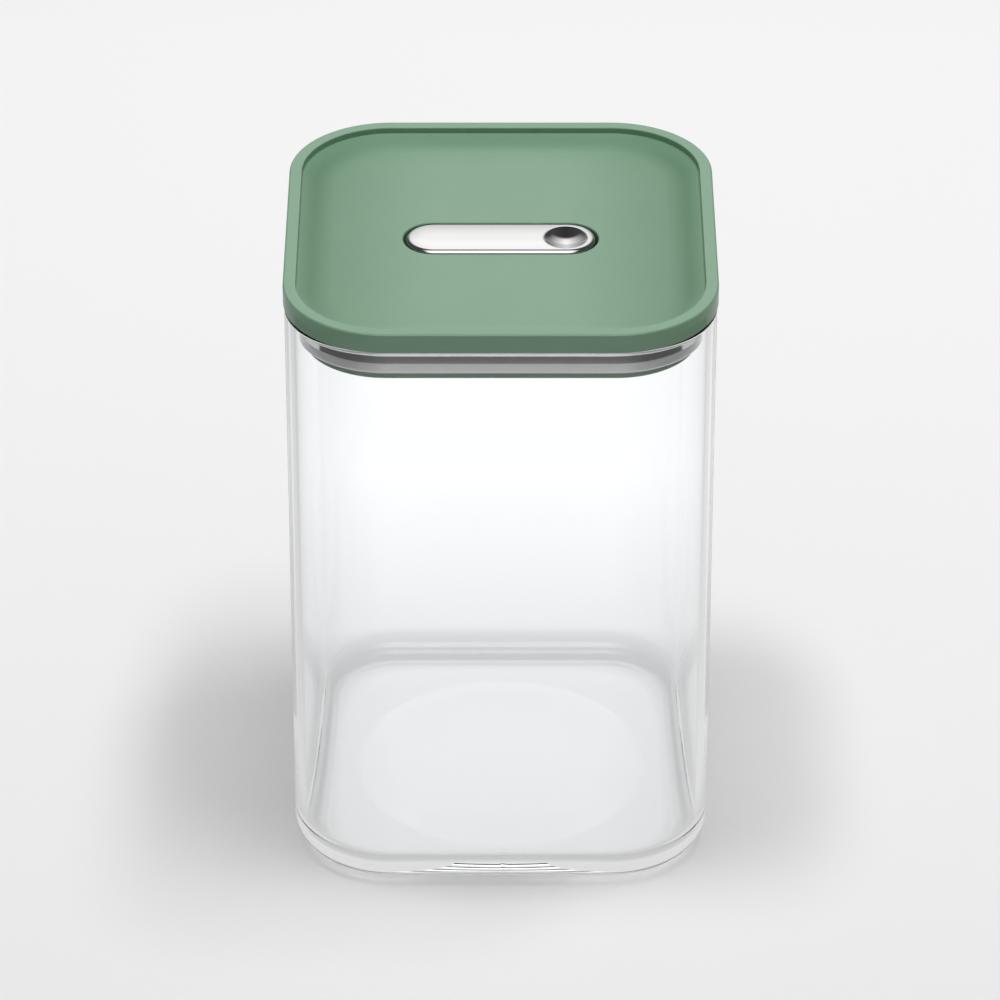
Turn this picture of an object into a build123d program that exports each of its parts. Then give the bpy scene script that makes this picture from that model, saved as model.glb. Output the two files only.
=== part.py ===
"""Square glass food storage container with an airtight rocker-handle lid.

Millimetres. +Z is up, the origin is the middle of the footprint on the table, and the front is -Y.
The lid's cover sits on the jar's rim. A pan under it hangs from a post. The rocker handle turns on a fixed
pivot pin, and a crank pin beside it carries the post: with the handle flat the pan is drawn up and squeezes
the gasket against the glass. Pressing the finger dish tips the handle, lowers the pan and frees the gasket.
"""
import math
import os

from build123d import *

# Driving sizes of the whole container
container_width = 130.0
container_height = 200.0
corner_radius = 31.0
overrun = 1.0
running_gap = 0.1
pin_clearance = 0.03

# Glass jar
jar_setback = 0.3
jar_wall = 3.2
jar_floor = 5.0
jar_foot_radius = 9.0
jar_inner_radius = 8.0
jar_rim_radius = 1.3
punt_depth = 0.8
punt_reach = 46.0

# Lid cover, a tray with a raised rim
cover_side = 6.5
rim_width = 3.9
rim_edge_radius = 0.6
tray_depth = 4.6
wall_cove_radius = 6.0
floor_cove_radius = 20.0
cove_meeting_degrees = 18.0
inner_rim_radius = 0.3
opening_edge_radius = 0.4
guide_rib_height = 4.0
guide_rib_wall = 1.4
guide_rib_gap = 0.3

# Rocker handle: steel plate over a moulded core
handle_length = 57.8
handle_width = 17.6
handle_proud = 0.4
plate_thickness = 0.8
plate_side = 2.4
plate_edge_radius = 1.4
dish_from_end = 9.2
dish_diameter = 13.4
dish_depth = 2.3
dish_edge_radius = 1.2
core_thickness = 2.7
core_end_relief = 1.0
core_relief_from_post = 2.0
handle_gap = 0.7
tilt_degrees = 20.0

# Pivot, crank and post
pivot_from_end = 22.9
crank_offset = 5.0
pin_below_cover = 1.8
pin_diameter = 2.0
pin_chamfer = 0.3
lug_radius = 1.8
lug_outer_y = 7.8
post_depth = 5.6
post_width = 4.6
post_gap = 0.2
guide_gap = 0.25
post_foot_diameter = 8.0
post_foot_height = 1.2
post_pocket_reach = 3.4

# Well that holds the handle
well_wall = 1.2
shelf_below_cover = 3.1
middle_below_cover = 5.8
deep_below_cover = 8.8
shelf_from_end = 14.9
shelf_ramp = 2.5
slope_from_post = 5.8
deep_from_end = 2.9
pin_boss_radius = 2.2
pin_boss_depth = 1.2
ear_from_end = 6.9
ear_length = 37.0
ear_width = 8.0
ear_thickness = 1.4
boss_y = 14.8
boss_diameter = 5.6
boss_length = 3.6
screw_diameter = 2.4
screw_grip = 3.2
screw_head_diameter = 4.4
screw_head_height = 1.4
screw_gap = 0.05
drive_width = 0.6
drive_depth = 0.6

# Pan, steel skirt and gasket
gasket_height = 1.8
gasket_glass_gap = 0.25
gasket_rib_gap = 0.4
gasket_edge_radius = 0.6
skirt_glass_gap = 1.1
skirt_thickness = 0.6
skirt_height = 7.3
skirt_band = 3.8
shoulder_degrees = 20.0
skirt_bend_radius = 1.2
pan_drop = 2.7
pan_inset = 6.5
pan_floor = 1.6
pan_wall = 1.8
pan_edge_radius = 1.0

# Fastening of the post to the pan
plateau_wall = 1.0
plateau_top = 1.0
cap_diameter = 7.0
cap_thickness = 0.7
cap_gap = 0.05
washer_thickness = 0.5
washer_diameter = 6.4
post_screw_diameter = 2.5
post_screw_head_diameter = 5.6
post_screw_head_height = 1.2
post_screw_grip = 3.6

# Return spring round the plateau
spring_wire = 0.6
spring_turns = 3.0
spring_gap = 0.4
spring_end_gap = 0.1

# Catch and rest pad under the handle's long end
catch_from_end = 7.9
stud_diameter = 2.2
stud_ball_diameter = 2.6
stud_length = 1.3
catch_gap = 0.12
catch_plate_length = 7.0
catch_plate_width = 6.0
catch_plate_thickness = 0.4
finger_thickness = 0.5
finger_height = 1.2
finger_length = 2.4
pad_from_end = 2.5
pad_diameter = 3.6

# Levels that follow from those sizes
cover_under = container_height - cover_side
tray_floor = container_height - tray_depth
handle_top = tray_floor + handle_proud
plate_under = handle_top - plate_thickness
core_under = plate_under - core_thickness
pin_level = cover_under - pin_below_cover
skirt_top = cover_under - gasket_height - running_gap
skirt_bottom = skirt_top - skirt_height
shoulder_bottom = skirt_bottom + skirt_band
pan_bottom = skirt_bottom - pan_drop
pan_floor_top = pan_bottom + pan_floor
shelf_level = cover_under - shelf_below_cover
middle_level = cover_under - middle_below_cover
deep_level = cover_under - deep_below_cover

# Plan insets from the cover's outline
jar_inner_inset = jar_setback + jar_wall
gasket_inset = jar_inner_inset + gasket_glass_gap
skirt_inset = jar_inner_inset + skirt_glass_gap
skirt_inner_inset = skirt_inset + skirt_thickness
pan_upper_inset = skirt_inner_inset + running_gap
pan_inner_inset = pan_inset + pan_wall
rib_inset = pan_inner_inset + guide_rib_gap
gasket_inner_inset = rib_inset - gasket_rib_gap

# Places along the handle, from its two ends
handle_end = handle_length / 2
dish_x = handle_end - dish_from_end
pivot_x = handle_end - pivot_from_end
post_x = pivot_x + crank_offset
core_relief_start_x = post_x + core_relief_from_post
shelf_end_x = shelf_from_end - handle_end
middle_start_x = shelf_end_x + shelf_ramp
slope_start_x = post_x + slope_from_post
deep_start_x = handle_end - deep_from_end
ear_x = handle_end - ear_from_end
catch_x = catch_from_end - handle_end
pad_x = pad_from_end - handle_end

opening_length = handle_length + 2 * handle_gap
opening_width = handle_width + 2 * handle_gap
crank_shift = crank_offset * (1 - math.cos(math.radians(tilt_degrees)))
lug_inner_y = post_depth / 2 + post_gap
pan_travel = crank_offset * math.sin(math.radians(tilt_degrees))


def square_prism(inset, low, high):
    """Rounded-square prism whose plan lies inset inside the cover's outline."""
    side = container_width - 2 * inset
    plan = RectangleRounded(side, side, corner_radius - inset)
    return Pos(0, 0, low) * extrude(plan, high - low)


def shouldered_prism(inset, low, high):
    """Rounded-square prism that leans inwards above the foot of the shoulder."""
    side = container_width - 2 * inset
    plan = RectangleRounded(side, side, corner_radius - inset)
    shoulder = Pos(0, 0, shoulder_bottom) * extrude(plan, high - shoulder_bottom, taper=shoulder_degrees)
    return square_prism(inset, low, shoulder_bottom) + shoulder


def pill_prism(length, width, low, high):
    """Round-ended bar along X."""
    return Pos(0, 0, low) * extrude(SlotOverall(length, width), high - low)


def disc(diameter, low, high, x=0.0, y=0.0):
    """Upright cylinder between two levels."""
    return Pos(x, y, (low + high) / 2) * Cylinder(diameter / 2, high - low)


def cross_pin(diameter, half_length, x, z):
    """Cylinder along Y."""
    return Pos(x, 0, z) * Rot(90, 0, 0) * Cylinder(diameter / 2, 2 * half_length)


def side_slab(points, half_width):
    """Closed outline in the XZ plane, widened equally to both sides of Y = 0."""
    face = make_face(Polyline([(x, 0, z) for x, z in points], close=True))
    return extrude(face, half_width, dir=(0, 1, 0), both=True)


def edges_at(part, level):
    """Edges that lie wholly in the plane Z = level."""
    tolerance = running_gap / 10
    return part.edges().filter_by_position(Axis.Z, level - tolerance, level + tolerance)


def outline_edges(part, level, half):
    """Edges at a level that lie on a rounded square of a given half width."""
    found = []
    for edge in edges_at(part, level):
        box = edge.bounding_box()
        reach = max(box.max.X, -box.min.X, box.max.Y, -box.min.Y)
        if abs(reach - half) < running_gap:
            found.append(edge)
    return found


def glass_jar():
    """Pressed glass jar with a thick floor, soft foot, shallow punt and fire-polished rim."""
    outer = square_prism(jar_setback, 0, cover_under)
    outer = fillet(edges_at(outer, 0), jar_foot_radius)
    inner = square_prism(jar_inner_inset, jar_floor, cover_under + overrun)
    inner = fillet(edges_at(inner, jar_floor), jar_inner_radius)
    jar = outer - inner
    jar = fillet(edges_at(jar, cover_under), jar_rim_radius)
    punt_ball = (punt_reach**2 + punt_depth**2) / (2 * punt_depth)
    return jar - Pos(0, 0, punt_depth - punt_ball) * Sphere(punt_ball)


def lid_cover():
    """Moulded tray: raised rim, coved inside, handle opening, guide rib and four screw bosses below."""
    cover = square_prism(0, cover_under, container_height)
    cover = fillet(edges_at(cover, container_height) + edges_at(cover, cover_under), rim_edge_radius)
    meeting = math.radians(cove_meeting_degrees)
    radius_step = floor_cove_radius - wall_cove_radius
    upper_level = tray_floor + radius_step * (1 - math.cos(meeting))
    climb = min(1.0, (container_height - upper_level) / wall_cove_radius)
    upper_inset = rim_width - wall_cove_radius * (1 - math.sqrt(1 - (1 - climb) ** 2))
    upper = square_prism(upper_inset, upper_level, container_height + wall_cove_radius)
    cover -= fillet(edges_at(upper, upper_level), wall_cove_radius)
    lower_inset = upper_inset + wall_cove_radius + radius_step * math.sin(meeting) - floor_cove_radius
    lower = square_prism(lower_inset, tray_floor, tray_floor + 2 * floor_cove_radius)
    lower = fillet(edges_at(lower, tray_floor), floor_cove_radius)
    cover -= lower & square_prism(rim_width, cover_under, container_height + overrun)
    cover = fillet(outline_edges(cover, container_height, container_width / 2 - rim_width), inner_rim_radius)
    opening = pill_prism(opening_length, opening_width, cover_under - overrun, tray_floor + overrun)
    cover -= opening
    inside = opening_length / 2 + opening_edge_radius
    lip = [e for e in edges_at(cover, tray_floor) if max(abs(e.center().X), abs(e.center().Y)) < inside]
    cover = fillet(lip, opening_edge_radius)
    rib_low = cover_under - guide_rib_height
    rib = square_prism(rib_inset, rib_low, cover_under)
    rib -= square_prism(rib_inset + guide_rib_wall, rib_low - overrun, cover_under + overrun)
    cover += rib
    for x in (-ear_x, ear_x):
        for y in (-boss_y, boss_y):
            cover += disc(boss_diameter, cover_under - boss_length, cover_under, x, y)
    for x in (-ear_x, ear_x):
        for y in (-boss_y, boss_y):
            low = cover_under - boss_length - overrun
            high = cover_under - boss_length + screw_grip + screw_gap
            cover -= disc(screw_diameter + 2 * screw_gap, low, high, x, y)
    return cover


def well_floor_line(drop):
    """Side view of the well's floor, from its left end to its right end, lowered by drop."""
    end = opening_length / 2 + well_wall
    return [
        (-end, shelf_level - drop),
        (shelf_end_x, shelf_level - drop),
        (middle_start_x, middle_level - drop),
        (slope_start_x, middle_level - drop),
        (deep_start_x, deep_level - drop),
        (end, deep_level - drop),
    ]


def handle_well():
    """Stepped cup under the handle, with pivot bosses, a guide for the post and two screwed ears."""
    end = opening_length / 2 + well_wall
    above = [(end, cover_under + overrun), (-end, cover_under + overrun)]
    outer = pill_prism(
        opening_length + 2 * well_wall, opening_width + 2 * well_wall, deep_level - well_wall, cover_under
    )
    outer &= side_slab(well_floor_line(well_wall) + above, opening_width)
    inner = pill_prism(opening_length, opening_width, deep_level - well_wall, cover_under + overrun)
    inner &= side_slab(well_floor_line(0) + above, opening_width)
    boss_reach = opening_width / 2 + well_wall + pin_boss_depth
    boss = cross_pin(2 * pin_boss_radius, boss_reach, pivot_x, pin_level)
    well = outer + (boss - disc(4 * boss_reach, cover_under, cover_under + pin_boss_radius, pivot_x))
    ear_top = cover_under - boss_length
    for x in (-ear_x, ear_x):
        ear = Pos(x, 0, ear_top - ear_thickness) * extrude(
            Rot(0, 0, 90) * SlotOverall(ear_length, ear_width), ear_thickness
        )
        well += ear
    well -= inner
    for x in (-ear_x, ear_x):
        for y in (-boss_y, boss_y):
            well -= disc(
                screw_diameter + 2 * screw_gap, ear_top - ear_thickness - overrun, ear_top + overrun, x, y
            )
    well -= cross_pin(pin_diameter, boss_reach + overrun, pivot_x, pin_level)
    guide = Pos(post_x, 0, middle_level - well_wall - overrun) * extrude(
        Rectangle(post_width + 2 * guide_gap, post_depth + 2 * guide_gap), well_wall + 2 * overrun
    )
    return well - guide


def well_screw(x, y):
    """Slotted screw that holds one of the well's ears to a boss of the cover."""
    seat = cover_under - boss_length - ear_thickness
    low = seat - screw_head_height
    head = disc(screw_head_diameter, low, seat, x, y)
    shank = disc(screw_diameter, seat, cover_under - boss_length + screw_grip, x, y)
    return head + shank - Pos(x, y, low) * Box(screw_head_diameter, drive_width, 2 * drive_depth)


def dish_ball(skin):
    """The ball that shapes the finger dish, grown by skin."""
    ball_radius = ((dish_diameter / 2) ** 2 + dish_depth**2) / (2 * dish_depth)
    return Pos(dish_x, 0, handle_top - dish_depth + ball_radius) * Sphere(ball_radius + skin)


def handle_plate():
    """Pressed steel plate with turned-down sides and a round finger dish at its right end."""
    low = handle_top - plate_side
    outer = pill_prism(handle_length, handle_width, low, handle_top)
    outer = fillet(edges_at(outer, handle_top), plate_edge_radius)
    inner = pill_prism(
        handle_length - 2 * plate_thickness, handle_width - 2 * plate_thickness, low - overrun, plate_under
    )
    inner -= dish_ball(plate_thickness)
    plate = outer - inner - dish_ball(0)
    circles = [e for e in edges_at(plate, handle_top) if e.geom_type == GeomType.CIRCLE]
    lip = [e for e in circles if abs(e.radius - dish_diameter / 2) < running_gap]
    return fillet(lip, dish_edge_radius)


def handle_core():
    """Moulded core under the plate, with two lugs for the pins and the catch's stud."""
    length = handle_length - 2 * plate_thickness - 2 * running_gap
    width = handle_width - 2 * plate_thickness - 2 * running_gap
    core = pill_prism(length, width, core_under, plate_under)
    end = length / 2 + overrun
    relief = [
        (core_relief_start_x, core_under),
        (end, core_under + core_end_relief),
        (end, core_under - overrun),
        (core_relief_start_x, core_under - overrun),
    ]
    core -= side_slab(relief, handle_width)
    core -= dish_ball(plate_thickness + running_gap)
    lug_side = lug_outer_y - lug_inner_y
    for sign in (-1, 1):
        y = sign * (lug_inner_y + lug_outer_y) / 2
        for x in (pivot_x, post_x):
            core += Pos(x, y, pin_level) * Rot(90, 0, 0) * Cylinder(lug_radius, lug_side)
        low = pin_level - lug_radius
        web = Pos((pivot_x + post_x) / 2, y, (low + core_under) / 2)
        core += web * Box(crank_offset, lug_side, core_under - low)
    pocket = Pos(post_x, 0, (core_under + plate_under) / 2)
    core -= pocket * Box(2 * post_pocket_reach, 2 * lug_inner_y, core_thickness + 2 * overrun)
    core -= cross_pin(pin_diameter + 2 * pin_clearance, handle_width, pivot_x, pin_level)
    core -= cross_pin(pin_diameter, handle_width, post_x, pin_level)
    stud_low = core_under - stud_length
    core += disc(stud_diameter, stud_low, core_under + overrun, catch_x)
    core += Pos(catch_x, 0, stud_low + stud_ball_diameter / 4) * Sphere(stud_ball_diameter / 2) & Pos(
        catch_x, 0, stud_low + stud_length / 2
    ) * Box(stud_ball_diameter, stud_ball_diameter, stud_length)
    return core


def pivot_pin():
    """Pin held in the well, on which the handle rocks."""
    half = opening_width / 2 + well_wall + pin_boss_depth
    pin = cross_pin(pin_diameter, half, pivot_x, pin_level)
    return chamfer(pin.edges().filter_by(GeomType.CIRCLE), pin_chamfer)


def crank_pin():
    """Pin carried by the handle's lugs, through the post's slotted eye."""
    pin = cross_pin(pin_diameter, lug_outer_y, post_x, pin_level)
    return chamfer(pin.edges().filter_by(GeomType.CIRCLE), pin_chamfer)


def pull_post():
    """Flat post with a slotted eye at its head and a round foot on the pan's plateau."""
    foot_low = pan_floor_top + plateau_rise()
    shaft = Pos(post_x, 0, (foot_low + pin_level) / 2) * Box(post_width, post_depth, pin_level - foot_low)
    post = shaft + cross_pin(post_width, post_depth / 2, post_x, pin_level)
    post += disc(post_foot_diameter, foot_low, foot_low + post_foot_height, post_x)
    eye_diameter = pin_diameter + 2 * pin_clearance
    for x in (post_x - crank_shift - pin_clearance, post_x + pin_clearance):
        post -= cross_pin(eye_diameter, post_depth, x, pin_level)
    middle = Pos(post_x - crank_shift / 2, 0, pin_level)
    post -= middle * Box(crank_shift + 2 * pin_clearance, 2 * post_depth, eye_diameter)
    bore = post_screw_diameter + 2 * screw_gap
    return post - disc(bore, foot_low - overrun, foot_low + post_screw_grip + screw_gap, post_x)


def plateau_rise():
    """Height of the pan's plateau over the pan's floor, from what the recess below it holds."""
    recess = cap_thickness + running_gap + post_screw_head_height + washer_thickness
    return recess + plateau_top - pan_floor


def lid_pan():
    """Moulded pan that closes the lid's underside, stepped out over the skirt's flange."""
    step = skirt_bottom + skirt_thickness
    pan = square_prism(pan_inset, pan_bottom, step)
    pan = fillet(edges_at(pan, pan_bottom), pan_edge_radius)
    upper = shouldered_prism(pan_upper_inset, step, skirt_top)
    pan += fillet(edges_at(upper, step), skirt_bend_radius - skirt_thickness)
    pan -= square_prism(pan_inner_inset, pan_floor_top, skirt_top + overrun)
    plateau_diameter = cap_diameter + 2 * plateau_wall
    pan += disc(plateau_diameter, pan_bottom + pan_floor / 2, pan_floor_top + plateau_rise(), post_x)
    recess_top = pan_floor_top + plateau_rise() - plateau_top
    pan -= disc(cap_diameter + 2 * cap_gap, pan_bottom - overrun, recess_top, post_x)
    hole = post_screw_diameter + 2 * screw_gap
    return pan - disc(hole, recess_top - overrun, recess_top + plateau_top + overrun, post_x)


def steel_skirt():
    """Drawn stainless band round the pan, with its lower edge turned in."""
    outer = shouldered_prism(skirt_inset, skirt_bottom, skirt_top)
    outer = fillet(edges_at(outer, skirt_bottom), skirt_bend_radius)
    inner = shouldered_prism(skirt_inner_inset, skirt_bottom + skirt_thickness, skirt_top + overrun)
    inner = fillet(edges_at(inner, skirt_bottom + skirt_thickness), skirt_bend_radius - skirt_thickness)
    mouth = square_prism(pan_inset - running_gap, skirt_bottom - overrun, skirt_top)
    return outer - inner - mouth


def seal_gasket():
    """Silicone ring between the cover and the pan, just inside the glass."""
    low = cover_under - gasket_height
    ring = square_prism(gasket_inset, low, cover_under)
    ring = fillet(edges_at(ring, low), gasket_edge_radius)
    return ring - square_prism(gasket_inner_inset, low - overrun, cover_under + overrun)


def post_screw():
    """Slotted screw that holds the post to the pan, driven from below."""
    seat = pan_floor_top + plateau_rise() - plateau_top - washer_thickness
    head = disc(post_screw_head_diameter, seat - post_screw_head_height, seat, post_x)
    shank = disc(post_screw_diameter, seat, pan_floor_top + plateau_rise() + post_screw_grip, post_x)
    slot = Pos(post_x, 0, seat - post_screw_head_height) * Box(
        post_screw_head_diameter, drive_width, 2 * drive_depth
    )
    return head + shank - slot


def sealing_washer():
    """Soft washer under the post screw's head."""
    high = pan_floor_top + plateau_rise() - plateau_top
    ring = disc(washer_diameter, high - washer_thickness, high, post_x)
    bore = post_screw_diameter + 2 * screw_gap
    return ring - disc(bore, high - washer_thickness - overrun, high + overrun, post_x)


def screw_cap():
    """Round cap that closes the screw recess, flush with the pan's underside."""
    return disc(cap_diameter, pan_bottom, pan_bottom + cap_thickness, post_x)


def return_spring():
    """Open coil round the plateau, from the pan's floor to the well's underside."""
    coil_radius = cap_diameter / 2 + plateau_wall + spring_gap + spring_wire / 2
    low = pan_floor_top + spring_wire / 2 + spring_end_gap
    high = middle_level - well_wall - spring_wire / 2 - spring_end_gap
    path = Helix(pitch=(high - low) / spring_turns, height=high - low, radius=coil_radius)
    section = Plane(origin=path @ 0, z_dir=path % 0) * Circle(spring_wire / 2)
    return Pos(post_x, 0, low) * sweep(section, path=path)


def catch_clip():
    """Spring clip whose two fingers hold the handle's stud."""
    plate_top = shelf_level + catch_plate_thickness
    plate = Pos(catch_x, 0, (shelf_level + plate_top) / 2) * Box(
        catch_plate_length, catch_plate_width, catch_plate_thickness
    )
    clip = plate
    for sign in (-1, 1):
        y = sign * (stud_ball_diameter / 2 + catch_gap + finger_thickness / 2)
        clip += Pos(catch_x, y, plate_top + finger_height / 2) * Box(
            finger_length, finger_thickness, finger_height
        )
    return clip


def rest_pad():
    """Soft pad on which the handle's long end rests."""
    return disc(pad_diameter, shelf_level, core_under - running_gap, pad_x)


nodes = {
    "glass_jar": glass_jar,
    "lid_cover": lid_cover,
    "handle_well": handle_well,
    "handle_plate": handle_plate,
    "handle_core": handle_core,
    "pivot_pin": pivot_pin,
    "crank_pin": crank_pin,
    "pull_post": pull_post,
    "lid_pan": lid_pan,
    "steel_skirt": steel_skirt,
    "seal_gasket": seal_gasket,
    "post_screw": post_screw,
    "sealing_washer": sealing_washer,
    "screw_cap": screw_cap,
    "return_spring": return_spring,
    "catch_clip": catch_clip,
    "rest_pad": rest_pad,
}

os.makedirs("parts", exist_ok=True)
for name, make in nodes.items():
    export_step(make(), f"parts/{name}.step")
number = 0
for x in (-ear_x, ear_x):
    for y in (-boss_y, boss_y):
        number += 1
        export_step(well_screw(x, y), f"parts/well_screw_{number}.step")
print(f"handle tilt {tilt_degrees} degrees lowers the pan {pan_travel:.3f} mm")
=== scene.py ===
"""Looks of the square glass food storage container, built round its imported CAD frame.

Every length in this file is in metres. The container stands on the floor at the origin, +Z is up, the
handle's finger dish is towards +X and the front is -Y.
"""

import logging
import math
from dataclasses import dataclass
from enum import Enum
from typing import Dict, List, Optional, Sequence, Tuple, Union

import bpy
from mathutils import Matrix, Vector

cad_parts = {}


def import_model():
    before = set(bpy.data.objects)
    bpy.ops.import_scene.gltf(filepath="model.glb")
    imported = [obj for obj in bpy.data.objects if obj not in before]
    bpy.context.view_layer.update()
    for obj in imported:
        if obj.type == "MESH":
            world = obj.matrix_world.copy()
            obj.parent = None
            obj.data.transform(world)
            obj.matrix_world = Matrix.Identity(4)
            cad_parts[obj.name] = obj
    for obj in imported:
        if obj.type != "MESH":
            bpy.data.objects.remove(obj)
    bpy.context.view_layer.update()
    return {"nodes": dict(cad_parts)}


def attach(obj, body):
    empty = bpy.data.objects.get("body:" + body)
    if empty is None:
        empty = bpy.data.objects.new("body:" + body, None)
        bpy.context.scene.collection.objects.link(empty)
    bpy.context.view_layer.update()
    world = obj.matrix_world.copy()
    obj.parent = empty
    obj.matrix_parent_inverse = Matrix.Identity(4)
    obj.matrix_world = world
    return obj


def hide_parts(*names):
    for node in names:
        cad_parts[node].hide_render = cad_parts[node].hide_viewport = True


LOG = logging.getLogger("container")
MM = 0.001
SHARE = (0.0, 1.0)
Colour = Tuple[float, float, float]
Point = Tuple[float, float, float]
Span = Tuple[float, float]
Socket = bpy.types.NodeSocket
Axes = bpy.types.bpy_prop_collection
Source = Union[Socket, float, Tuple[float, ...]]


class Slot(Enum):
    """Material slots of the record."""

    GLASS = "clear_glass"
    GREEN = "green_matte"
    POLISHED = "polished_steel"
    STEEL = "plain_steel"
    SILICONE = "silicone"
    ACETAL = "acetal"


class Body(Enum):
    """Bodies that the pieces ride on."""

    JAR = "jar"
    LID = "lid"
    HANDLE = "handle"
    PLUNGER = "plunger"


class Blend(Enum):
    """Ways to use a Mix node: its type of value, its operation, its first input and its output."""

    VECTOR = ("VECTOR", "MIX", 4, 1)
    COLOUR = ("RGBA", "MIX", 6, 2)
    PRODUCT = ("RGBA", "MULTIPLY", 6, 2)


@dataclass(frozen=True)
class Mark:
    """A brightness at one place along a measure, such as a distance or an angle."""

    at: float
    level: float


def grey(level: float) -> Tuple[float, float, float, float]:
    """Gives an even grey, with full cover."""
    return (level, level, level, 1.0)


class Graph:
    """A node tree, with short ways to add and join nodes."""

    def __init__(self, tree: bpy.types.NodeTree, output_kind: str) -> None:
        """Empties the tree and adds its output.

        Args:
            tree: Node tree of a material or of the world.
            output_kind: Blender's type name of its output.
        """
        self.tree = tree
        self.tree.nodes.clear()
        self.output = self.tree.nodes.new(output_kind)

    def node(self, kind: str, **values: object) -> bpy.types.Node:
        """Adds a node.

        Args:
            kind: Blender's type name of the node.
            values: Attributes, or input sockets by name with spaces as underscores.

        Returns:
            The new node.
        """
        made = self.tree.nodes.new(kind)
        for key, value in values.items():
            if hasattr(made, key):
                setattr(made, key, value)
            else:
                made.inputs[key.replace("_", " ")].default_value = value
        return made

    def feed(self, target: Socket, source: Source) -> None:
        """Joins a socket to an input, or sets the input to a plain value.

        Args:
            target: The input.
            source: The socket or the value.
        """
        if isinstance(source, Socket):
            self.tree.links.new(source, target)
        else:
            target.default_value = source

    def surface(self, shader: Socket) -> None:
        """Sends a shader to the output."""
        self.feed(self.output.inputs["Surface"], shader)

    def calculate(self, operation: str, first: Source, second: Source = 0.0) -> Socket:
        """Adds a calculation with one or two numbers.

        Args:
            operation: Name of the calculation.
            first: First number.
            second: Second number, where there is one.

        Returns:
            The result.
        """
        made = self.node("ShaderNodeMath", operation=operation)
        self.feed(made.inputs[0], first)
        self.feed(made.inputs[1], second)
        return made.outputs["Value"]

    def coordinates(self, kind: str = "Object") -> Socket:
        """Gives the place on the object, or the direction into the world by the kind Generated."""
        return self.node("ShaderNodeTexCoord").outputs[kind]

    def axes(self, place: Socket) -> Axes:
        """Splits a place or a direction.

        Args:
            place: The place or direction.

        Returns:
            Its X, Y and Z.
        """
        made = self.node("ShaderNodeSeparateXYZ")
        self.feed(made.inputs["Vector"], place)
        return made.outputs

    def length(self, vector: Socket) -> Socket:
        """Measures a vector.

        Args:
            vector: The vector.

        Returns:
            Its length.
        """
        made = self.node("ShaderNodeVectorMath", operation="LENGTH")
        self.feed(made.inputs[0], vector)
        return made.outputs["Value"]

    def noise(self, scale: float, detail: float = 3.0) -> Socket:
        """Adds a noise texture in object space.

        Args:
            scale: Cells per metre.
            detail: Octaves of finer noise.

        Returns:
            The noise, from 0 to 1.
        """
        made = self.node("ShaderNodeTexNoise", Scale=scale, Detail=detail)
        self.feed(made.inputs["Vector"], self.coordinates())
        return made.outputs["Fac"]

    def spread(self, source: Source, result: Span, reach: Span = SHARE) -> Socket:
        """Maps one range of values onto another, and holds the ends beyond it.

        Args:
            source: The value.
            result: Results at the ends of the reach.
            reach: Values at which the results are met.

        Returns:
            The result.
        """
        made = self.node("ShaderNodeMapRange")
        made.inputs["From Min"].default_value, made.inputs["From Max"].default_value = reach
        made.inputs["To Min"].default_value, made.inputs["To Max"].default_value = result
        self.feed(made.inputs["Value"], source)
        return made.outputs["Result"]

    def marked(self, source: Socket, marks: Sequence[Mark]) -> Socket:
        """Turns a measure into a brightness by a row of marks.

        Args:
            source: The measure.
            marks: Brightness at some places, lowest place first.

        Returns:
            The brightness, as a colour.
        """
        first = marks[0].at
        last = marks[-1].at
        ramp = self.node("ShaderNodeValToRGB")
        stops = ramp.color_ramp.elements
        while len(stops) < len(marks):
            stops.new(0.5)
        for stop, mark in zip(stops, marks):
            stop.position = (mark.at - first) / (last - first)
            stop.color = grey(mark.level)
        self.feed(ramp.inputs["Fac"], self.spread(source, SHARE, (first, last)))
        return ramp.outputs["Color"]

    def bump(self, height: Socket, depth: float, strength: float, base: Optional[Socket] = None) -> Socket:
        """Adds a bump of a real depth.

        Args:
            height: Height of the bump, from 0 to 1.
            depth: What a height of 1 measures.
            strength: Share of the bump that is used.
            base: Normal that the bump stands on, or nothing for the surface's own.

        Returns:
            The bumped normal.
        """
        made = self.node("ShaderNodeBump", Strength=strength, Distance=depth)
        self.feed(made.inputs["Height"], height)
        if base:
            self.feed(made.inputs["Normal"], base)
        return made.outputs["Normal"]

    def blend(self, kind: Blend, share: Source, first: Source, second: Source) -> Socket:
        """Blends two vectors or two colours.

        Args:
            kind: What is blended.
            share: 0 for the first and 1 for the second.
            first: First vector or colour.
            second: Second vector or colour.

        Returns:
            The result.
        """
        type_name, blend_name, first_input, output = kind.value
        made = self.node("ShaderNodeMix", data_type=type_name, blend_type=blend_name)
        self.feed(made.inputs["Factor"], share)
        self.feed(made.inputs[first_input], first)
        self.feed(made.inputs[first_input + 1], second)
        return made.outputs[output]

    def either_shader(self, share: Source, first: bpy.types.Node, second: bpy.types.Node) -> bpy.types.Node:
        """Blends two shaders.

        Args:
            share: 0 for the first and 1 for the second.
            first: First shader.
            second: Second shader.

        Returns:
            The Mix Shader node.
        """
        made = self.node("ShaderNodeMixShader")
        self.feed(made.inputs["Fac"], share)
        self.feed(made.inputs[1], first.outputs[0])
        self.feed(made.inputs[2], second.outputs[0])
        return made

    def seen_in_or_through(self) -> Socket:
        """Gives 1 to rays that metal mirrors or glass lets through, and 0 to others."""
        path = self.node("ShaderNodeLightPath")
        return self.calculate("MAXIMUM", path.outputs["Is Glossy Ray"], path.outputs["Is Transmission Ray"])

    def seen_directly(self) -> Socket:
        """Gives 1 to rays straight from the camera, and 0 to others."""
        return self.node("ShaderNodeLightPath").outputs["Is Camera Ray"]


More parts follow.
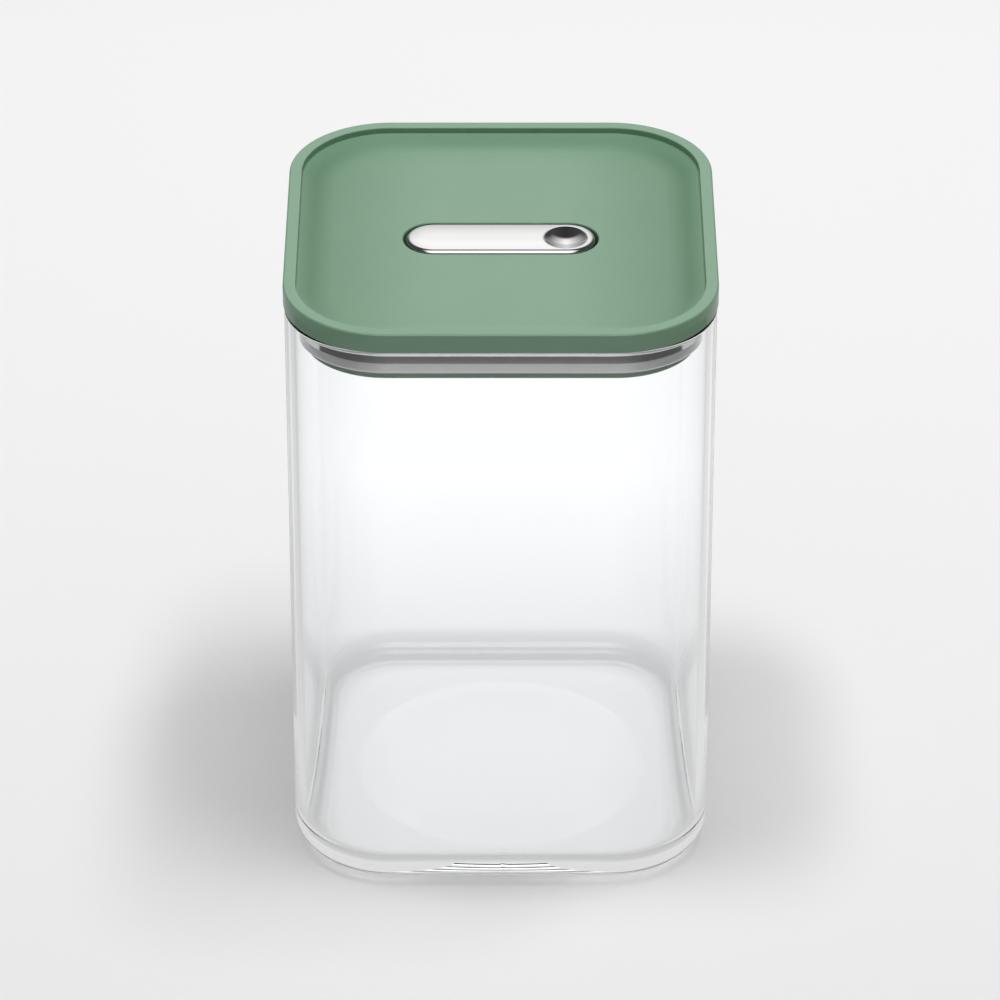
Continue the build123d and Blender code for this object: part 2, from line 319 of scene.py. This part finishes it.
class MaterialGraph(Graph):
    """Node tree of a new material."""

    def __init__(self, name: str) -> None:
        """Starts an empty node material.

        Args:
            name: Name of the material.
        """
        self.material = bpy.data.materials.new(name)
        self.material.use_nodes = True
        super().__init__(self.material.node_tree, "ShaderNodeOutputMaterial")

    def finished(self, shader: bpy.types.Node) -> bpy.types.Material:
        """Sends a shader to the output and gives back the material."""
        self.surface(shader.outputs[0])
        return self.material


@dataclass(frozen=True)
class GlassFinish:
    """Clear pressed glass with a faint waviness."""

    name: str = Slot.GLASS.value
    tint: Colour = (0.982, 0.987, 0.992)
    ior: float = 1.49
    shadow_pass: float = 0.80
    wave_scale: float = 34.0
    wave_detail: float = 1.0
    wave_depth: float = 0.12 * MM
    wave_strength: float = 0.12

    def material(self) -> bpy.types.Material:
        """Builds the glass, which lets most of the light through to its own shadow.

        Returns:
            The material.
        """
        graph = MaterialGraph(self.name)
        shader = graph.node(
            "ShaderNodeBsdfPrincipled",
            Base_Color=(*self.tint, 1.0),
            Roughness=0.0,
            IOR=self.ior,
            Transmission_Weight=1.0,
        )
        wave = graph.noise(self.wave_scale, self.wave_detail)
        graph.feed(shader.inputs["Normal"], graph.bump(wave, self.wave_depth, self.wave_strength))
        clear = graph.node("ShaderNodeBsdfTransparent", Color=grey(self.shadow_pass))
        shadow = graph.node("ShaderNodeLightPath").outputs["Is Shadow Ray"]
        return graph.finished(graph.either_shader(shadow, shader, clear))


@dataclass(frozen=True)
class Sag:
    """Shading of the tray's floor as a hollow, whose two sides rise away from its middle.

    The hollow is in the normals alone: the floor's mesh is flat. Every green surface below the rim gets it.
    """

    depth: float = 11.5 * MM
    start: float = 15.0 * MM
    end: float = 61.0 * MM
    below: float = 196.2 * MM
    fade: float = 1.6 * MM

    def normal(self, graph: Graph) -> Socket:
        """Adds the hollow's normal, which turns into the surface's own at the level of the rim.

        Args:
            graph: The material's node tree.

        Returns:
            The normal.
        """
        axes = graph.axes(graph.coordinates())
        share = graph.spread(graph.calculate("ABSOLUTE", axes["X"]), SHARE, (self.start, self.end))
        hollow = graph.bump(graph.calculate("MULTIPLY", share, share), self.depth, 1.0)
        above = graph.spread(axes["Z"], SHARE, (self.below, self.below + self.fade))
        plain = graph.node("ShaderNodeNewGeometry").outputs["Normal"]
        return graph.blend(Blend.VECTOR, above, hollow, plain)


@dataclass(frozen=True)
class MouldedFinish:
    """Moulded plastic or silicone with a spark-eroded fine grain and slight unevenness of colour."""

    name: str
    dark: Colour
    light: Colour
    rough: Span
    specular: float = 0.42
    cloud_scale: float = 26.0
    patch_scale: float = 140.0
    grain_scale: float = 5200.0
    grain_detail: float = 2.0
    grain_depth: float = 0.03 * MM
    grain_strength: float = 0.35
    sag: Optional[Sag] = None

    def material(self) -> bpy.types.Material:
        """Builds the moulded material.

        Returns:
            The material.
        """
        graph = MaterialGraph(self.name)
        shader = graph.node("ShaderNodeBsdfPrincipled", Specular_IOR_Level=self.specular)
        cloud = graph.noise(self.cloud_scale)
        shade = graph.blend(Blend.COLOUR, cloud, (*self.dark, 1.0), (*self.light, 1.0))
        graph.feed(shader.inputs["Base Color"], shade)
        graph.feed(shader.inputs["Roughness"], graph.spread(graph.noise(self.patch_scale), self.rough))
        grain = graph.noise(self.grain_scale, self.grain_detail)
        base = self.sag.normal(graph) if self.sag else None
        bump = graph.bump(grain, self.grain_depth, self.grain_strength, base)
        graph.feed(shader.inputs["Normal"], bump)
        return graph.finished(shader)


@dataclass(frozen=True)
class Crown:
    """Shading of a pill-shaped plate as slightly crowned, with a fall towards its outline.

    The crown is in the normals alone: the plate's mesh is flat.
    """

    depth: float = 0.48 * MM
    straight: float = 20.1 * MM
    half: float = 8.8 * MM
    power: float = 3.0

    def normal(self, graph: Graph) -> Socket:
        """Adds the crown's normal.

        Args:
            graph: The material's node tree.

        Returns:
            The normal.
        """
        axes = graph.axes(graph.coordinates())
        beyond = graph.calculate("SUBTRACT", graph.calculate("ABSOLUTE", axes["X"]), self.straight)
        joined = graph.node("ShaderNodeCombineXYZ")
        graph.feed(joined.inputs["X"], graph.calculate("MAXIMUM", beyond, 0.0))
        graph.feed(joined.inputs["Y"], axes["Y"])
        share = graph.spread(graph.length(joined.outputs["Vector"]), SHARE, (0.0, self.half))
        height = graph.calculate("SUBTRACT", 1.0, graph.calculate("POWER", share, self.power))
        return graph.bump(height, self.depth, 1.0)


@dataclass(frozen=True)
class SteelFinish:
    """Stainless steel with fine directional polishing marks, by their number per metre along each axis."""

    name: str
    colour: Colour
    rough: Span
    marks: Point
    mark_detail: float = 4.0
    mark_depth: float = 0.006 * MM
    mark_strength: float = 0.25
    crown: Optional[Crown] = None

    def material(self) -> bpy.types.Material:
        """Builds the steel material.

        Returns:
            The material.
        """
        graph = MaterialGraph(self.name)
        shader = graph.node("ShaderNodeBsdfPrincipled", Base_Color=(*self.colour, 1.0), Metallic=1.0)
        stretch = graph.node("ShaderNodeMapping", Scale=self.marks)
        graph.feed(stretch.inputs["Vector"], graph.coordinates())
        marks = graph.node("ShaderNodeTexNoise", Scale=1.0, Detail=self.mark_detail)
        graph.feed(marks.inputs["Vector"], stretch.outputs["Vector"])
        graph.feed(shader.inputs["Roughness"], graph.spread(marks.outputs["Fac"], self.rough))
        base = self.crown.normal(graph) if self.crown else None
        bump = graph.bump(marks.outputs["Fac"], self.mark_depth, self.mark_strength, base)
        graph.feed(shader.inputs["Normal"], bump)
        return graph.finished(shader)


@dataclass(frozen=True)
class Finishes:
    """All finishes of the container, one material for each slot of the record."""

    glass: GlassFinish = GlassFinish()
    green: MouldedFinish = MouldedFinish(
        name=Slot.GREEN.value,
        dark=(0.142, 0.264, 0.169),
        light=(0.156, 0.288, 0.185),
        rough=(0.28, 0.36),
        specular=0.68,
        sag=Sag(),
    )
    polished: SteelFinish = SteelFinish(
        name=Slot.POLISHED.value,
        colour=(0.585, 0.585, 0.58),
        rough=(0.04, 0.08),
        marks=(90.0, 2600.0, 2600.0),
        crown=Crown(),
    )
    steel: SteelFinish = SteelFinish(
        name=Slot.STEEL.value,
        colour=(0.56, 0.56, 0.55),
        rough=(0.22, 0.36),
        marks=(900.0, 900.0, 900.0),
    )
    silicone: MouldedFinish = MouldedFinish(
        name=Slot.SILICONE.value,
        dark=(0.74, 0.75, 0.74),
        light=(0.80, 0.81, 0.80),
        rough=(0.5, 0.62),
        specular=0.35,
        grain_scale=3000.0,
    )
    acetal: MouldedFinish = MouldedFinish(
        name=Slot.ACETAL.value,
        dark=(0.72, 0.72, 0.69),
        light=(0.77, 0.77, 0.74),
        rough=(0.34, 0.44),
    )

    def build(self) -> Dict[Slot, bpy.types.Material]:
        """Builds every material.

        Returns:
            The materials by slot.
        """
        return {
            Slot.GLASS: self.glass.material(),
            Slot.GREEN: self.green.material(),
            Slot.POLISHED: self.polished.material(),
            Slot.STEEL: self.steel.material(),
            Slot.SILICONE: self.silicone.material(),
            Slot.ACETAL: self.acetal.material(),
        }


@dataclass(frozen=True)
class Ring:
    """A level closed line round the middle, with straight sides and round corners."""

    half: float
    radius: float
    z: float

    def points(self, corner_steps: int) -> List[Point]:
        """Gives the ring's points, anticlockwise from +X.

        Args:
            corner_steps: Steps in each round corner.

        Returns:
            The points, 4 * (corner_steps + 1) of them.
        """
        found: List[Point] = []
        middle = self.half - self.radius
        for quarter, (sign_x, sign_y) in enumerate(((1, 1), (-1, 1), (-1, -1), (1, -1))):
            for step in range(corner_steps + 1):
                angle = math.radians(90.0 * (quarter + step / corner_steps))
                x = sign_x * middle + self.radius * math.cos(angle)
                y = sign_y * middle + self.radius * math.sin(angle)
                found.append((x, y, self.z))
        return found


@dataclass(frozen=True)
class Loft:
    """A skin through a row of rings, with both ends capped."""

    name: str
    rings: Sequence[Ring]
    corner_steps: int = 20
    sharp_degrees: float = 38.0

    def faces(self) -> List[Tuple[int, ...]]:
        """Works out the skin's faces and its two caps.

        Returns:
            The faces, by the numbers of their points.
        """
        count = 4 * (self.corner_steps + 1)
        found: List[Tuple[int, ...]] = []
        for low in range(len(self.rings) - 1):
            start = low * count
            for step in range(count):
                after = (step + 1) % count
                found.append((start + step, start + after, start + count + after, start + count + step))
        last = (len(self.rings) - 1) * count
        found.append(tuple(reversed(range(count))))
        found.append(tuple(range(last, last + count)))
        return found

    def build(self, material: bpy.types.Material) -> bpy.types.Object:
        """Builds the mesh object with smooth, area-weighted normals.

        Args:
            material: Its finish.

        Returns:
            The new object.
        """
        points: List[Point] = []
        for ring in self.rings:
            points.extend(ring.points(self.corner_steps))
        mesh = bpy.data.meshes.new(self.name)
        mesh.from_pydata(points, [], self.faces())
        mesh.validate()
        mesh.shade_smooth()
        mesh.set_sharp_from_angle(angle=math.radians(self.sharp_degrees))
        mesh.materials.append(material)
        made = bpy.data.objects.new(self.name, mesh)
        bpy.context.scene.collection.objects.link(made)
        weight = made.modifiers.new("weighted", "WEIGHTED_NORMAL")
        weight.keep_sharp = True
        return made


@dataclass(frozen=True)
class Jar:
    """Pressed glass jar: rounded square, thick floor, shallow punt, fire-polished rim."""

    half: float = 65.0 * MM
    corner: float = 31.0 * MM
    setback: float = 0.3 * MM
    wall: float = 3.2 * MM
    floor: float = 5.0 * MM
    height: float = 193.5 * MM
    foot_radius: float = 9.0 * MM
    inner_radius: float = 8.0 * MM
    rim_radius: float = 1.3 * MM
    punt_depth: float = 0.8 * MM
    punt_reach: float = 46.0 * MM
    punt_steps: int = 6
    arc_steps: int = 10

    def arc(self, inset: float, z: float, radius: float, turn: Span) -> List[Ring]:
        """Works out a rounding of the section.

        Args:
            inset: Distance of the arc's centre inside the cover's outline.
            z: Level of the arc's centre.
            radius: Radius of the arc.
            turn: Angles where it starts and ends, in degrees; 0 points outwards and 90 up.

        Returns:
            The rings in order.
        """
        start, end = turn
        rings = []
        for step in range(self.arc_steps + 1):
            angle = math.radians(start + (end - start) * step / self.arc_steps)
            depth = inset - radius * math.cos(angle)
            rings.append(Ring(self.half - depth, self.corner - depth, z + radius * math.sin(angle)))
        return rings

    def punt(self) -> List[Ring]:
        """Works out the shallow hollow under the floor.

        Returns:
            Its round rings, from the middle outwards.
        """
        rings = []
        for step in range(1, self.punt_steps + 1):
            share = step / self.punt_steps
            reach = self.punt_reach * share
            rings.append(Ring(reach, reach, self.punt_depth * (1.0 - share * share)))
        return rings

    def rings(self) -> List[Ring]:
        """Works out the whole section of the jar.

        Returns:
            The rings from the punt, round the outside and over the rim, to the floor inside.
        """
        outer = self.setback
        inner = self.setback + self.wall
        rim_z = self.height - self.rim_radius
        rings = self.punt()
        rings += self.arc(outer + self.foot_radius, self.foot_radius, self.foot_radius, (-90.0, 0.0))
        rings += self.arc(outer + self.rim_radius, rim_z, self.rim_radius, (0.0, 90.0))
        rings += self.arc(inner - self.rim_radius, rim_z, self.rim_radius, (90.0, 180.0))
        cove_z = self.floor + self.inner_radius
        cove = self.arc(inner + self.inner_radius, cove_z, self.inner_radius, (-90.0, 0.0))
        return rings + list(reversed(cove))

    def dress(self, finishes: Dict[Slot, bpy.types.Material]) -> None:
        """Builds the glass and puts it in the frame.

        Args:
            finishes: Materials by slot.
        """
        glass = Loft("jar_glass", self.rings()).build(finishes[Slot.GLASS])
        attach(glass, Body.JAR.value)
        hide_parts("glass_jar")
        LOG.info("%s: jar_glass, %d faces", Body.JAR.value, len(glass.data.polygons))


@dataclass(frozen=True)
class SubAssembly:
    """CAD nodes of one body that are shown as they are, by the slot of their finish."""

    body: Body
    pieces: Tuple[Tuple[Slot, Tuple[str, ...]], ...]

    def dress(self, nodes: Dict[str, bpy.types.Object], finishes: Dict[Slot, bpy.types.Material]) -> None:
        """Gives each node its material.

        Args:
            nodes: CAD objects by node name.
            finishes: Materials by slot.
        """
        for slot, names in self.pieces:
            for name in names:
                for holder in nodes[name].material_slots:
                    holder.material = finishes[slot]
                LOG.info("%s: %s in %s", self.body.value, name, slot.value)


@dataclass(frozen=True)
class Lid(SubAssembly):
    """Green tray with the gasket and, under the handle, the housing, its pin, catch, pad and screws."""

    body: Body = Body.LID
    pieces: Tuple[Tuple[Slot, Tuple[str, ...]], ...] = (
        (Slot.GREEN, ("lid_cover", "handle_well")),
        (
            Slot.STEEL,
            ("pivot_pin", "catch_clip", "well_screw_1", "well_screw_2", "well_screw_3", "well_screw_4"),
        ),
        (Slot.SILICONE, ("seal_gasket", "rest_pad")),
    )


@dataclass(frozen=True)
class Handle(SubAssembly):
    """Steel plate with the finger dish, on its moulded core, with the crank pin."""

    body: Body = Body.HANDLE
    pieces: Tuple[Tuple[Slot, Tuple[str, ...]], ...] = (
        (Slot.POLISHED, ("handle_plate",)),
        (Slot.GREEN, ("handle_core",)),
        (Slot.STEEL, ("crank_pin",)),
    )


@dataclass(frozen=True)
class Plunger(SubAssembly):
    """Sealing pan with its steel band, and the post, screw, washer, cap and spring that carry it."""

    body: Body = Body.PLUNGER
    pieces: Tuple[Tuple[Slot, Tuple[str, ...]], ...] = (
        (Slot.GREEN, ("lid_pan", "screw_cap")),
        (Slot.POLISHED, ("steel_skirt",)),
        (Slot.ACETAL, ("pull_post",)),
        (Slot.STEEL, ("post_screw", "return_spring")),
        (Slot.SILICONE, ("sealing_washer",)),
    )


@dataclass(frozen=True)
class Floor:
    """Pale floor, lit and shadowed where seen directly, with colour painted darker towards the front as
    shade, and with a glowing ground of its own, of painted brightness and painted shade, for metal and
    glass.

    The marks of near, far and ground go by the distance behind the container, and those of foot by the
    distance from its middle.
    """

    name: str = "studio_floor"
    half: float = 4.0
    # Painted shade: the lit floor's colour is darker near the front than far behind.
    near: Mark = Mark(-0.15, 0.80)
    far: Mark = Mark(0.50, 0.96)
    far_fade: Span = (0.62, 1.25)
    # Painted brightness of the glowing ground, by the distance behind the container.
    ground: Tuple[Mark, ...] = (
        Mark(-0.62, 0.76),
        Mark(-0.44, 0.63),
        Mark(-0.34, 0.63),
        Mark(-0.20, 0.72),
        Mark(-0.08, 0.71),
        Mark(0.04, 0.78),
        Mark(0.18, 1.10),
    )
    # Painted shade: the glowing ground dims to both sides.
    side_fade: Span = (0.07, 0.32)
    side_middle: float = 0.02
    side_level: float = 0.50
    # Painted shade of the glowing ground under the jar's foot.
    foot: Tuple[Mark, ...] = (
        Mark(0.052, 1.0),
        Mark(0.060, 0.78),
        Mark(0.067, 0.78),
        Mark(0.085, 1.0),
    )
    foot_power: float = 4.6

    def foot_shade(self, graph: Graph, axes: Axes) -> Socket:
        """Darkens the ground in a rounded square under the jar's foot, which light hardly reaches.

        Args:
            graph: The floor's node tree.
            axes: The place on the floor.

        Returns:
            The share of light that is left.
        """
        across = graph.calculate("POWER", graph.calculate("ABSOLUTE", axes["X"]), self.foot_power)
        along = graph.calculate("POWER", graph.calculate("ABSOLUTE", axes["Y"]), self.foot_power)
        reach = graph.calculate("POWER", graph.calculate("ADD", across, along), 1.0 / self.foot_power)
        return graph.marked(reach, self.foot)

    def mirrored(self, graph: Graph, axes: Axes) -> bpy.types.Node:
        """Builds the ground near the container that metal mirrors and glass lets through. It is no lamp but
        glows, with painted brightness banded along Y, dimmed to the sides, and painted shade under the
        jar's foot.

        Args:
            graph: The floor's node tree.
            axes: The place on the floor.

        Returns:
            The shader.
        """
        aside = graph.calculate("ABSOLUTE", graph.calculate("SUBTRACT", axes["X"], self.side_middle))
        # Painted light: the ground glows here instead of being lit by the lamps.
        made = graph.node("ShaderNodeEmission")
        ground = graph.marked(axes["Y"], self.ground)
        shade = graph.blend(Blend.PRODUCT, 1.0, ground, self.foot_shade(graph, axes))
        graph.feed(made.inputs["Color"], shade)
        graph.feed(made.inputs["Strength"], graph.spread(aside, (1.0, self.side_level), self.side_fade))
        return made

    def material(self, background: float) -> bpy.types.Material:
        """Builds the floor's material, which turns into the background far from the container.

        Args:
            background: Brightness of the background.

        Returns:
            The material.
        """
        graph = MaterialGraph(self.name)
        place = graph.coordinates()
        axes = graph.axes(place)
        lit = graph.node("ShaderNodeBsdfDiffuse")
        # Painted shade: the floor's own colour grows darker towards the front, standing in for dimmer light
        # there.
        levels = (self.near.level, self.far.level)
        graph.feed(lit.inputs["Color"], graph.spread(axes["Y"], levels, (self.near.at, self.far.at)))
        pale = graph.node("ShaderNodeEmission", Color=grey(background))
        away = graph.spread(graph.length(place), SHARE, self.far_fade)
        away_directly = graph.calculate("MULTIPLY", away, graph.seen_directly())
        direct = graph.either_shader(away_directly, lit, pale)
        mirrored = graph.either_shader(away, self.mirrored(graph, axes), pale)
        return graph.finished(graph.either_shader(graph.seen_in_or_through(), direct, mirrored))

    def dress(self, background: float) -> None:
        """Lays the floor.

        Args:
            background: Brightness of the background.
        """
        size = self.half
        corners = [(-size, -size, 0.0), (size, -size, 0.0), (size, size, 0.0), (-size, size, 0.0)]
        mesh = bpy.data.meshes.new(self.name)
        mesh.from_pydata(corners, [], [(0, 1, 2, 3)])
        mesh.materials.append(self.material(background))
        made = bpy.data.objects.new(self.name, mesh)
        bpy.context.scene.collection.objects.link(made)


@dataclass(frozen=True)
class Surround:
    """World round the container: nearly even for soft light, banded where metal and glass show it.

    The bands go by the angle in degrees, from the back horizon over the top to the front horizon.
    """

    name: str = "studio_world"
    soft_front: float = 0.34
    soft_back: float = 0.30
    bands: Tuple[Mark, ...] = (
        Mark(0.0, 1.80),
        Mark(6.0, 1.50),
        Mark(12.0, 0.92),
        Mark(16.0, 0.92),
        Mark(22.0, 1.15),
        Mark(27.0, 1.36),
        Mark(30.0, 1.49),
        Mark(32.5, 1.62),
        Mark(50.0, 1.45),
        Mark(60.0, 0.05),
        Mark(92.0, 0.05),
        Mark(101.0, 3.2),
        Mark(144.0, 3.2),
        Mark(154.0, 0.14),
        Mark(180.0, 0.14),
    )
    side_level: float = 0.08
    side_fade: Span = (0.04, 0.56)

    def banded(self, graph: Graph, axes: Axes) -> Socket:
        """Builds what metal and glass show: bands over the container, dim to both sides.

        Args:
            graph: The world's node tree.
            axes: The direction into the world.

        Returns:
            The brightness, as a colour.
        """
        angle = graph.calculate("ARCTAN2", axes["Z"], axes["Y"])
        marks = [Mark(math.radians(band.at), band.level) for band in self.bands]
        aside = graph.spread(graph.calculate("ABSOLUTE", axes["X"]), SHARE, self.side_fade)
        return graph.blend(Blend.COLOUR, aside, graph.marked(angle, marks), grey(self.side_level))

    def dress(self, background: float) -> None:
        """Sets the world.

        Args:
            background: Brightness that the camera sees.
        """
        world = bpy.data.worlds.new(self.name)
        world.use_nodes = True
        bpy.context.scene.world = world
        graph = Graph(world.node_tree, "ShaderNodeOutputWorld")
        axes = graph.axes(graph.coordinates("Generated"))
        soft = graph.spread(axes["Y"], (self.soft_front, self.soft_back), (-1.0, 1.0))
        shown = graph.blend(Blend.COLOUR, graph.seen_in_or_through(), soft, self.banded(graph, axes))
        seen = graph.blend(Blend.COLOUR, graph.seen_directly(), shown, grey(background))
        back = graph.node("ShaderNodeBackground")
        graph.feed(back.inputs["Color"], seen)
        graph.surface(back.outputs[0])


def turn_to(thing: bpy.types.Object, aim: Point) -> None:
    """Turns a lamp or camera to face a point."""
    way = Vector(aim) - Vector(thing.location)
    thing.rotation_euler = way.to_track_quat("-Z", "Y").to_euler()


@dataclass(frozen=True)
class Lamp:
    """One soft rectangular lamp over the container, which metal and glass don't mirror."""

    name: str
    place: Point
    size: Span
    watts: float
    aim: Point = (0.0, 0.0, 0.1)

    def dress(self) -> None:
        """Hangs the lamp."""
        light = bpy.data.lights.new(self.name, "AREA")
        light.shape = "RECTANGLE"
        light.size, light.size_y = self.size
        light.energy = self.watts
        made = bpy.data.objects.new(self.name, light)
        bpy.context.scene.collection.objects.link(made)
        made.location = self.place
        made.visible_glossy = False
        turn_to(made, self.aim)


@dataclass(frozen=True)
class Camera:
    """Camera at the photograph's angle, by the pixels of a square picture."""

    pitch: float = 32.43
    distance: float = 1.818
    target_z: float = 0.100
    focal_pixels: float = 5830.0
    image_pixels: float = 1000.0
    centre_x_pixels: float = 500.8
    centre_y_pixels: float = 504.0
    sensor_mm: float = 36.0
    clip: Span = (0.05, 50.0)

    def dress(self) -> None:
        """Sets the camera up and makes it the scene's."""
        data = bpy.data.cameras.new("camera")
        data.sensor_width = self.sensor_mm
        data.lens = self.focal_pixels * self.sensor_mm / self.image_pixels
        data.shift_x = (self.image_pixels / 2 - self.centre_x_pixels) / self.image_pixels
        data.shift_y = (self.centre_y_pixels - self.image_pixels / 2) / self.image_pixels
        data.clip_start, data.clip_end = self.clip
        made = bpy.data.objects.new("camera", data)
        bpy.context.scene.collection.objects.link(made)
        pitch = math.radians(self.pitch)
        height = self.target_z + self.distance * math.sin(pitch)
        made.location = (0.0, -self.distance * math.cos(pitch), height)
        turn_to(made, (0.0, 0.0, self.target_z))
        bpy.context.scene.camera = made


@dataclass(frozen=True)
class Studio:
    """Floor, surround, lamps and camera, and how often light bounces in the glass."""

    background: float = 0.93
    light_bounces: int = 24
    floor: Floor = Floor()
    surround: Surround = Surround()
    lamps: Tuple[Lamp, ...] = (
        Lamp("top_lamp", (0.0, -0.08, 2.2), (0.9, 0.25), 12.0),
        Lamp("right_lamp", (0.44, -0.08, 2.1), (0.9, 0.25), 14.0),
        Lamp("left_lamp", (-0.32, -0.08, 2.1), (0.5, 0.25), 8.0),
    )
    camera: Camera = Camera()

    def dress(self) -> None:
        """Builds the whole studio."""
        self.floor.dress(self.background)
        self.surround.dress(self.background)
        for lamp in self.lamps:
            lamp.dress()
        self.camera.dress()
        cycles = bpy.context.scene.cycles
        cycles.max_bounces = self.light_bounces
        cycles.transmission_bounces = self.light_bounces
        cycles.glossy_bounces = self.light_bounces
        bpy.context.scene.view_settings.view_transform = "Standard"
        LOG.info("studio: floor, surround, %d lamps and camera", len(self.lamps))


def main() -> None:
    """Builds the container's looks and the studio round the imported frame."""
    logging.basicConfig(level=logging.INFO, format="%(name)s %(message)s")
    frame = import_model()
    finishes = Finishes().build()
    Lid().dress(frame["nodes"], finishes)
    Handle().dress(frame["nodes"], finishes)
    Plunger().dress(frame["nodes"], finishes)
    Jar().dress(finishes)
    Studio().dress()


if __name__ == "__main__":
    main()
